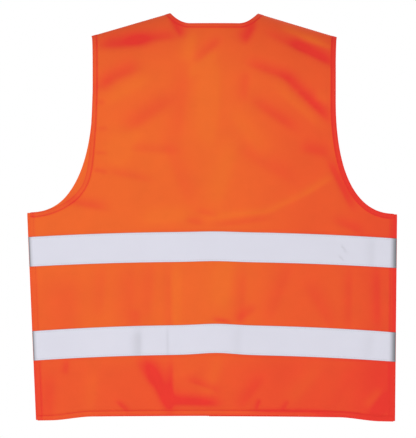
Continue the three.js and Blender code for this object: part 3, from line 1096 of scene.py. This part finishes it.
def label_material(colours):
    """White satin ribbon with fine lengthwise threads."""
    material, tree, shader = new_material(
        "label_satin", Roughness=0.32, Sheen_Weight=0.3, Specular_IOR_Level=0.5, Anisotropic=0.4
    )
    weave = weave_height(tree, 0.35 * MM, 0.6 * MM, 0.25)
    # Painted shade between the threads, from the weave's height.
    shade = shaded(tree, plain(tree, colours.label), weave, 0.93, 1.03)
    tree.links.new(shade, shader.inputs["Base Color"])
    add_bump(tree, shader, weave, 0.05 * MM, 0.5)
    return material


def floor_material(colours):
    """Matt studio paper."""
    material, tree, shader = new_material(
        "studio_paper", Roughness=0.9, Emission_Color=(1, 1, 1, 1), Emission_Strength=0.34
    )
    shade = shaded(tree, plain(tree, colours.floor), noise(tree, 6.0), 0.99, 1.01)
    tree.links.new(shade, shader.inputs["Base Color"])
    return material


MATERIAL_MAKERS = {
    "knit": knit_material,
    "binding": binding_material,
    "tape": tape_material,
    "thread": thread_material,
    "tape_thread": tape_thread_material,
    "hooks": patch_material,
    "label": label_material,
    "floor": floor_material,
}
made_materials = {}


def finish_of(context, name):
    """The material of that name, made once."""
    if name not in made_materials:
        made_materials[name] = MATERIAL_MAKERS[name](context.scene.vest_colours)
    return made_materials[name]


# ---------------------------------------------------------------- fitting to the frame


def bend_with_front(piece):
    """Bakes the piece's placing into its mesh."""
    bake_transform(piece)


def tape_painted_shade(pattern, x, z):
    """How grey a tape looks, as painted shade: where it turns away at a side seam, more towards
    +X, in its creases and along its edges.
    """
    near = pattern.side_half_width(z) - np.abs(x)
    seam_shade = 1 - ramp(near, 0, np.where(x > 0, 13 * MM, 6 * MM))
    turn = seam_shade + 0.22 * fold_sum(TAPE_CREASE_SHADES, x, z)
    # Painted shade along the tape's top and bottom edges.
    turn[[0, -1]] += 0.55
    return np.clip(turn, 0, 1)


# ---------------------------------------------------------------- paths and grids of the trim


def neck_path(pattern, points=121):
    x = pattern.neck * np.sin(np.linspace(-0.5, 0.5, points) * math.pi)
    return x, pattern.back_neck_fall(x)


def hem_path(pattern, points=181):
    reach = pattern.hem - SEAM_CLEARANCE
    x = np.linspace(-reach, reach, points)
    return x, pattern.fall_at(x, pattern.arched(pattern.hem_level, pattern.hem_arch, x), BACK)


def armhole_path(pattern, side):
    """From the underarm up the back's armhole edge and down the front's."""
    back = np.array(pattern.armhole_edge(side, BACK))
    front = np.array(pattern.armhole_edge(side, FRONT))
    back, front = (
        edge[:, np.abs(edge[0]) < pattern.chest - SEAM_CLEARANCE] for edge in (back, front)
    )
    return np.concatenate([back[:, ::-1], front[:, 1:]], 1)


def front_edge_path(pattern, side, points=201):
    total = pattern.fall_at(np.array(-pattern.sizes.overlap), pattern.hem_level, FRONT)
    fall = np.linspace(0, float(total), points)
    return side * pattern.front_edge_at(fall), fall


def front_hem_path(pattern, side, points=101, edge_clearance=9 * MM):
    inner = -pattern.sizes.overlap + edge_clearance
    x = side * np.linspace(pattern.hem - SEAM_CLEARANCE, inner, points)
    return x, pattern.fall_at(x, pattern.hem_level, FRONT)


def tape_levels(sizes):
    return ("upper", sizes.upper_tape, UPPER_ARCH), ("lower", sizes.lower_tape, LOWER_ARCH)


def tape_rows(sizes, selvedge=0.8 * MM, seam=2.5 * MM, inner_rows=14):
    """Heights of a tape's rows of points about its middle: its edge, selvedge, seam and field."""
    half = sizes.tape_width / 2
    field = np.linspace(half - seam, seam - half, inner_rows)
    return np.array([half, half - selvedge, *field, selvedge - half, -half])


def back_tape_grid(pattern, level, arch, inset=0.6 * MM):
    rise = tape_rows(pattern.sizes)
    edge_x = pattern.side_half_width(level + rise) - inset
    x = back_columns(pattern, edge_x)
    return x, pattern.fall_at(x, pattern.arched(level, arch, x) + rise[:, None], BACK)


def front_tape_grid(pattern, side, level, inset=0.6 * MM, edge_clearance=0.3 * MM, columns=92):
    rise = tape_rows(pattern.sizes)[:, None]
    outer = pattern.side_half_width(level + rise) - inset
    inner = -(pattern.sizes.overlap - pattern.sizes.binding_width - edge_clearance)
    x = side * (outer + (inner - outer) * np.linspace(0, 1, columns + 1))
    return x, pattern.fall_at(x, level + rise, FRONT)


# ---------------------------------------------------------------- operators


class VEST_OT_cloth(Operator):
    """Makes the back and the two fronts, each one sheet of knitted cloth"""

    bl_idname = "vest.cloth"
    bl_label = "Cloth"

    def execute(self, context):
        pattern = Pattern(context.scene.vest_sizes)
        half = pattern.sizes.cloth / 2
        knit = finish_of(context, "knit")
        back = cloth_piece("back_cloth", pattern, back_grid(pattern), -half, half, knit)
        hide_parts("back_panel")
        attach(back, "vest")
        for name, side in SIDE_NAMES.items():
            grid = front_grid(pattern, side)
            cloth = cloth_piece(f"{name}_front_cloth", pattern, grid, -half, half, knit, side)
            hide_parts(f"{name}_front_side", f"{name}_front_centre")
            bend_with_front(cloth)
        return {"FINISHED"}


class VEST_OT_bindings(Operator):
    """Makes the folded bindings on the neck, armholes, front edges and hem"""

    bl_idname = "vest.bindings"
    bl_label = "Bindings"

    def execute(self, context):
        pattern = Pattern(context.scene.vest_sizes)
        material = finish_of(context, "binding")
        sewn = [self.neck(pattern, material), self.back_hem(pattern, material)]
        sewn += [self.armhole(pattern, material, name) for name in SIDE_NAMES]
        for piece in sewn:
            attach(piece, "vest")
        for name in SIDE_NAMES:
            for piece in self.front_pieces(pattern, material, name):
                bend_with_front(piece)
        return {"FINISHED"}

    def neck(self, pattern, material):
        piece = binding_piece("back_neck_binding", pattern, neck_path(pattern), -1, material)
        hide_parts("neck_binding")
        return piece

    def back_hem(self, pattern, material):
        path = hem_path(pattern)
        piece = binding_piece("back_hem_tape", pattern, path, 1, material, redness_and_shade=-0.1)
        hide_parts("back_hem_binding")
        return piece

    def armhole(self, pattern, material, name):
        side = SIDE_NAMES[name]
        path = armhole_path(pattern, side)
        piece = binding_piece(f"{name}_armhole_tape", pattern, path, side, material)
        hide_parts(f"{name}_armhole_binding")
        return piece

    def front_pieces(self, pattern, material, name):
        side = SIDE_NAMES[name]
        path = front_edge_path(pattern, side)
        edge = binding_piece(f"{name}_front_edge_tape", pattern, path, -side, material, side)
        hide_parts(f"{name}_front_edge_binding")
        path = front_hem_path(pattern, side)
        hem = binding_piece(f"{name}_front_hem_tape", pattern, path, side, material, side)
        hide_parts(f"{name}_hem_binding_side", f"{name}_hem_binding_centre")
        return edge, hem


class VEST_OT_tapes(Operator):
    """Makes the reflective tapes on the back and on both fronts"""

    bl_idname = "vest.tapes"
    bl_label = "Reflective tapes"

    def execute(self, context):
        pattern = Pattern(context.scene.vest_sizes)
        material = finish_of(context, "tape")
        for level_name, level, arch in tape_levels(pattern.sizes):
            grid = back_tape_grid(pattern, level, arch)
            piece = self.tape(pattern, material, f"back_{level_name}", grid, 0)
            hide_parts(f"back_{level_name}_tape")
            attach(piece, "vest")
            for name, side in SIDE_NAMES.items():
                stem = f"{name}_{level_name}"
                grid = front_tape_grid(pattern, side, level)
                piece = self.tape(pattern, material, stem, grid, side)
                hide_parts(f"{stem}_tape_side", f"{stem}_tape_centre")
                bend_with_front(piece)
        return {"FINISHED"}

    def tape(self, pattern, material, stem, grid, side):
        low = pattern.sizes.cloth / 2 + 0.02 * MM
        high = low + pattern.sizes.tape
        name = f"{stem}_reflective_tape"
        piece = cloth_piece(name, pattern, grid, low, high, material, side, tape_painted_shade)
        return piece


class VEST_OT_stitching(Operator):
    """Sews the tapes and bindings with rows of stitches"""

    bl_idname = "vest.stitching"
    bl_label = "Stitching"

    def execute(self, context):
        sizes = context.scene.vest_sizes
        pattern = Pattern(sizes)
        tree = stitch_tree()
        # A stitch fills four fifths of its pitch.
        values = {"Pitch": sizes.stitch, "Size": (sizes.thread, sizes.thread, sizes.stitch * 0.4)}
        groups = {"vest": self.back_lines(pattern)}
        groups |= {name: self.front_lines(pattern, side) for name, side in SIDE_NAMES.items()}
        for name, lines in groups.items():
            for thread, kind in (("thread", "binding"), ("tape_thread", "tape")):
                values["Material"] = finish_of(context, thread)
                title = f"{'back' if name == 'vest' else name + '_front'}_{kind}_stitches"
                piece = grown(title, line_mesh(title, lines[kind]), tree, values)
                if name == "vest":
                    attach(piece, "vest")
                else:
                    bend_with_front(piece)
        return {"FINISHED"}

    def back_lines(self, pattern):
        binding = self.on_binding(pattern, neck_path(pattern), -1)
        binding += self.on_binding(pattern, hem_path(pattern), 1)
        for side in SIDE_NAMES.values():
            binding += self.on_binding(pattern, armhole_path(pattern, side), side)
            binding.append(self.on_shoulder(pattern, side))
            binding += self.on_side_seam(pattern, side)
        tape = []
        for _, level, arch in tape_levels(pattern.sizes):
            tape += self.on_tape(pattern, back_tape_grid(pattern, level, arch))
        return {"binding": binding, "tape": tape}

    def front_lines(self, pattern, side):
        binding = self.on_binding(pattern, front_edge_path(pattern, side), -side, side)
        binding += self.on_binding(pattern, front_hem_path(pattern, side), side, side)
        binding += self.on_patches(pattern, side)
        tape = []
        for _, level, _ in tape_levels(pattern.sizes):
            tape += self.on_tape(pattern, front_tape_grid(pattern, side, level), side)
        return {"binding": binding, "tape": tape}

    def on_binding(self, pattern, path, cloth_side, side=0):
        """Points along a binding's stitch row, on its outer and its inner face."""
        sizes = pattern.sizes
        x, fall = path
        dx, dfall = inward(pattern, x, fall, cloth_side, side)
        reach = sizes.binding_width - STITCH_INSET
        x, fall = x + dx * reach, fall + dfall * reach
        out = sizes.cloth / 2 + sizes.binding - 0.02 * MM
        return [pattern.offset(x, fall, face * out, side) for face in (1, -1)]

    def on_tape(self, pattern, grid, side=0):
        """Points along both edges of a tape, on the tape and inside the cloth."""
        sizes = pattern.sizes
        outs = sizes.cloth / 2 + sizes.tape + 0.06 * MM, -sizes.cloth / 2 - 0.04 * MM
        lines = []
        for row in (2, -3):
            x, fall = (part[row] for part in grid)
            lines += [pattern.offset(x, fall, out, side) for out in outs]
        return lines

    def on_side_seam(self, pattern, side, points=120):
        """Points along a side seam: its row of stitches, and the overlock inside the cloth."""
        out = pattern.sizes.cloth / 2 + 0.03 * MM
        ends = pattern.underarm - 12 * MM, pattern.hem_level + 11 * MM
        level = np.linspace(*ends, points)
        zigzag = np.where(np.arange(points) % 2, 8 * MM, 3 * MM)
        lines = []
        for inset, way in ((SEAM_ALLOWANCE, 1), (zigzag, -1)):
            x = side * (pattern.side_half_width(level) - inset)
            lines.append(pattern.offset(x, pattern.fall_at(x, level, BACK), way * out))
        return lines

    def on_shoulder(self, pattern, side, clearance=9 * MM, behind=2 * MM, points=40):
        """Points along a shoulder seam, just behind the ridge."""
        sizes = pattern.sizes
        ends = pattern.neck + clearance, sizes.shoulder_tip - clearance
        x = side * np.linspace(*ends, points)
        return pattern.offset(x, np.full(points, -behind), sizes.cloth / 2 + 0.05 * MM)

    def on_patches(self, pattern, side, inset=2 * MM, points=33):
        """Points round each patch, on its own face and on the cloth's other face."""
        sizes = pattern.sizes
        corners = np.array([(-1, 1), (1, 1), (1, -1), (-1, -1), (-1, 1)])
        reach = np.linspace(0, 4, points)
        x, rise = (np.interp(reach, range(5), corners[:, axis]) for axis in (0, 1))
        x = x * (sizes.patch_width / 2 - inset)
        rise = rise * (sizes.patch_height / 2 - inset)
        outs = -side * (sizes.cloth / 2 + 0.04 * MM), side * (sizes.cloth / 2 + 0.7 * MM)
        lines = []
        for place in PATCH_PLACES:
            level = middle(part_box(f"hook_patch_{place}"), 2)
            fall = pattern.fall_at(x, level + rise, FRONT)
            lines += [pattern.offset(x, fall, out, side) for out in outs]
        return lines


class VEST_OT_fasteners(Operator):
    """Makes the hook patches behind the left front edge and the loop patches on the right one"""

    bl_idname = "vest.fasteners"
    bl_label = "Hook and loop"

    def execute(self, context):
        pattern = Pattern(context.scene.vest_sizes)
        material = finish_of(context, "hooks")
        tree = pile_tree()
        for place in PATCH_PLACES:
            # A hook's bristle bends back on itself, and a loop's comes down to the tape.
            self.patch(pattern, material, tree, "hook", place, LEFT, math.radians(235))
            self.patch(pattern, material, tree, "loop", place, RIGHT, math.radians(180))
        return {"FINISHED"}

    def patch(self, pattern, material, tree, kind, place, side, sweep):
        node = f"{kind}_patch_{place}"
        half_width, half_height = pattern.sizes.patch_width / 2, pattern.sizes.patch_height / 2
        across = np.linspace(-half_width, half_width, 9)
        down = np.linspace(half_height, -half_height, 17) + middle(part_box(node), 2)
        x, z = np.meshgrid(across, down)
        grid = x, pattern.fall_at(x, z, FRONT)
        gap, thickness = 0.05 * MM, 0.6 * MM
        near = side * (pattern.sizes.cloth / 2 + gap)
        far = near + side * thickness
        low, high = min(near, far), max(near, far)
        base = cloth_piece(f"{node}_tape", pattern, grid, low, high, material, side)
        face = self.skin_mesh(pattern.offset(*grid, far, side), outwards=side)
        values = {"Density": PILE_DENSITY, "Radius": PILE_RADIUS, "Thickness": PILE_THICKNESS}
        values |= {"Sweep": sweep, "Material": material}
        pile = grown(f"{node}_pile", face, tree, values)
        body = "left_front" if side == LEFT else "right_front"
        for piece in (base, pile):
            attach(piece, body)
        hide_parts(node)

    def skin_mesh(self, points, outwards):
        """The patch's outer face alone, inset a little from its edges."""
        inner = points[1:-1, 1:-1]
        index = np.arange(inner[..., 0].size).reshape(inner.shape[:2])
        quads = np.stack([index[:-1, :-1], index[1:, :-1], index[1:, 1:], index[:-1, 1:]], -1)
        quads = quads.reshape(-1, 4)[:, ::outwards]
        mesh = bpy.data.meshes.new("patch_skin")
        mesh.from_pydata(inner.reshape(-1, 3).tolist(), [], quads.tolist())
        return mesh


class VEST_OT_label(Operator):
    """Makes the blank care label under the back of the neck"""

    bl_idname = "vest.label"
    bl_label = "Care label"

    def execute(self, context):
        width, height = LABEL_HIGH[0] - LABEL_LOW[0], LABEL_HIGH[2] - LABEL_LOW[2]
        across = np.linspace(LABEL_LOW[0], LABEL_HIGH[0], 25)
        x, share = np.meshgrid(across, np.linspace(0, 1, 41))
        z = LABEL_HIGH[2] - height * share
        bow, half = 1.6 * MM, 0.15 * MM
        bowed = bow * np.sin(share * math.pi * 0.9) * np.cos(x / LABEL_HIGH[0] * 1.1)
        y = middle((LABEL_LOW, LABEL_HIGH), 1) + bowed
        layers = [np.stack([x, y + out, z], -1).reshape(-1, 3) for out in (half, -half)]
        uv = np.tile(np.stack([x.ravel(), z.ravel()], -1), (2, 1))
        satin = finish_of(context, "label")
        vertices = np.concatenate(layers)
        label = make_piece("blank_care_label", vertices, layered(*x.shape), satin, uv)
        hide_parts("care_label")
        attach(label, "label")
        return {"FINISHED"}


class VEST_OT_sheets(Operator):
    bl_idname = "vest.sheets"
    bl_label = "Cloth sizes"

    def execute(self, context):
        return {"FINISHED"}


# The studio. Each lamp is a name, a place, a size and a power.
LAMPS = (
    ("key", (-2.4, -3.4, 1.7), 2.6, 54),
    ("fill", (2.8, -3.0, 0.3), 2.4, 19),
    ("front_key", (2.2, 3.4, 1.7), 2.6, 54),
    ("front_fill", (-2.8, 3.0, 0.3), 2.4, 19),
)
FLOOR_RADIUS = 4
FLOOR_DROP = 0.32
WALL_LIGHT = 0.47
CAMERA_PLACE = (-0.009, -7.0, -0.3475)
SEEN_WIDTH = 0.705


class VEST_OT_stage(Operator):
    """Makes the floor, the light and the camera"""

    bl_idname = "vest.stage"
    bl_label = "Studio"

    def execute(self, context):
        self.floor(context)
        self.world(context)
        aim = Vector((0, 0, middle(FRAME_BOUNDS, 2)))
        for lamp in LAMPS:
            self.light(aim, *lamp)
        self.camera(context)
        return {"FINISHED"}

    def floor(self, context):
        place = (0, 0, FRAME_BOUNDS[0][2] - FLOOR_DROP)
        bpy.ops.mesh.primitive_circle_add(
            vertices=96, radius=FLOOR_RADIUS, fill_type="NGON", location=place
        )
        floor = context.object
        floor.name = "studio_floor"
        floor.data.materials.append(finish_of(context, "floor"))

    def world(self, context):
        """A white surrounding, dimmer in the light that it gives than it looks."""
        world = bpy.data.worlds.new("studio")
        context.scene.world = world
        world.use_nodes = True
        tree = world.node_tree
        tree.nodes.clear()
        white = (1, 1, 1, 1)
        light = add_node(tree, "ShaderNodeBackground", Color=white, Strength=WALL_LIGHT)
        seen = add_node(tree, "ShaderNodeBackground", Color=white, Strength=1.0)
        path = add_node(tree, "ShaderNodeLightPath")
        choose = add_node(tree, "ShaderNodeMixShader", Fac=path.outputs["Is Camera Ray"])
        tree.links.new(light.outputs[0], choose.inputs[1])
        tree.links.new(seen.outputs[0], choose.inputs[2])
        add_node(tree, "ShaderNodeOutputWorld", Surface=choose.outputs[0])
        context.scene.view_settings.view_transform = "Standard"

    def light(self, aim, name, place, size, power):
        data = bpy.data.lights.new(name, "AREA")
        data.size = size
        data.energy = power
        lamp = placed(name, data)
        lamp.location = place
        lamp.rotation_euler = (aim - Vector(place)).to_track_quat("-Z", "Y").to_euler()
        lamp.visible_camera = False

    def camera(self, context):
        data = bpy.data.cameras.new("camera")
        data.sensor_fit = "HORIZONTAL"
        data.sensor_width = 36
        data.lens = data.sensor_width * -CAMERA_PLACE[1] / SEEN_WIDTH
        camera = placed("camera", data)
        camera.location = CAMERA_PLACE
        camera.rotation_euler = (math.pi / 2, 0, 0)
        context.scene.camera = camera


class VEST_PT_panel(Panel):
    """Lists the vest's sizes, colours and pieces"""

    bl_label = "Vest"
    bl_idname = "VEST_PT_panel"
    bl_space_type = "VIEW_3D"
    bl_region_type = "UI"
    bl_category = "Vest"

    def draw(self, context):
        layout = self.layout
        for group in (context.scene.vest_sizes, context.scene.vest_colours):
            column = layout.column()
            for key in group.bl_rna.properties.keys():
                if key not in ("rna_type", "name"):
                    column.prop(group, key)
        for operator in OPERATORS:
            layout.operator(operator.bl_idname)


OPERATORS = (
    VEST_OT_stage,
    VEST_OT_cloth,
    VEST_OT_bindings,
    VEST_OT_tapes,
    VEST_OT_stitching,
    VEST_OT_fasteners,
    VEST_OT_label,
    VEST_OT_sheets,
)
CLASSES = (VestSizes, VestColours, *OPERATORS, VEST_PT_panel)


def register():
    for cls in CLASSES:
        bpy.utils.register_class(cls)
    bpy.types.Scene.vest_sizes = PointerProperty(type=VestSizes)
    bpy.types.Scene.vest_colours = PointerProperty(type=VestColours)


def unregister():
    del bpy.types.Scene.vest_colours
    del bpy.types.Scene.vest_sizes
    for cls in reversed(CLASSES):
        bpy.utils.unregister_class(cls)


def main():
    register()
    bpy.ops.vest.stage()
    bpy.ops.vest.cloth()
    bpy.ops.vest.bindings()
    bpy.ops.vest.tapes()
    bpy.ops.vest.stitching()
    bpy.ops.vest.fasteners()
    bpy.ops.vest.label()
    bpy.ops.vest.sheets()


if __name__ == "__main__":
    main()
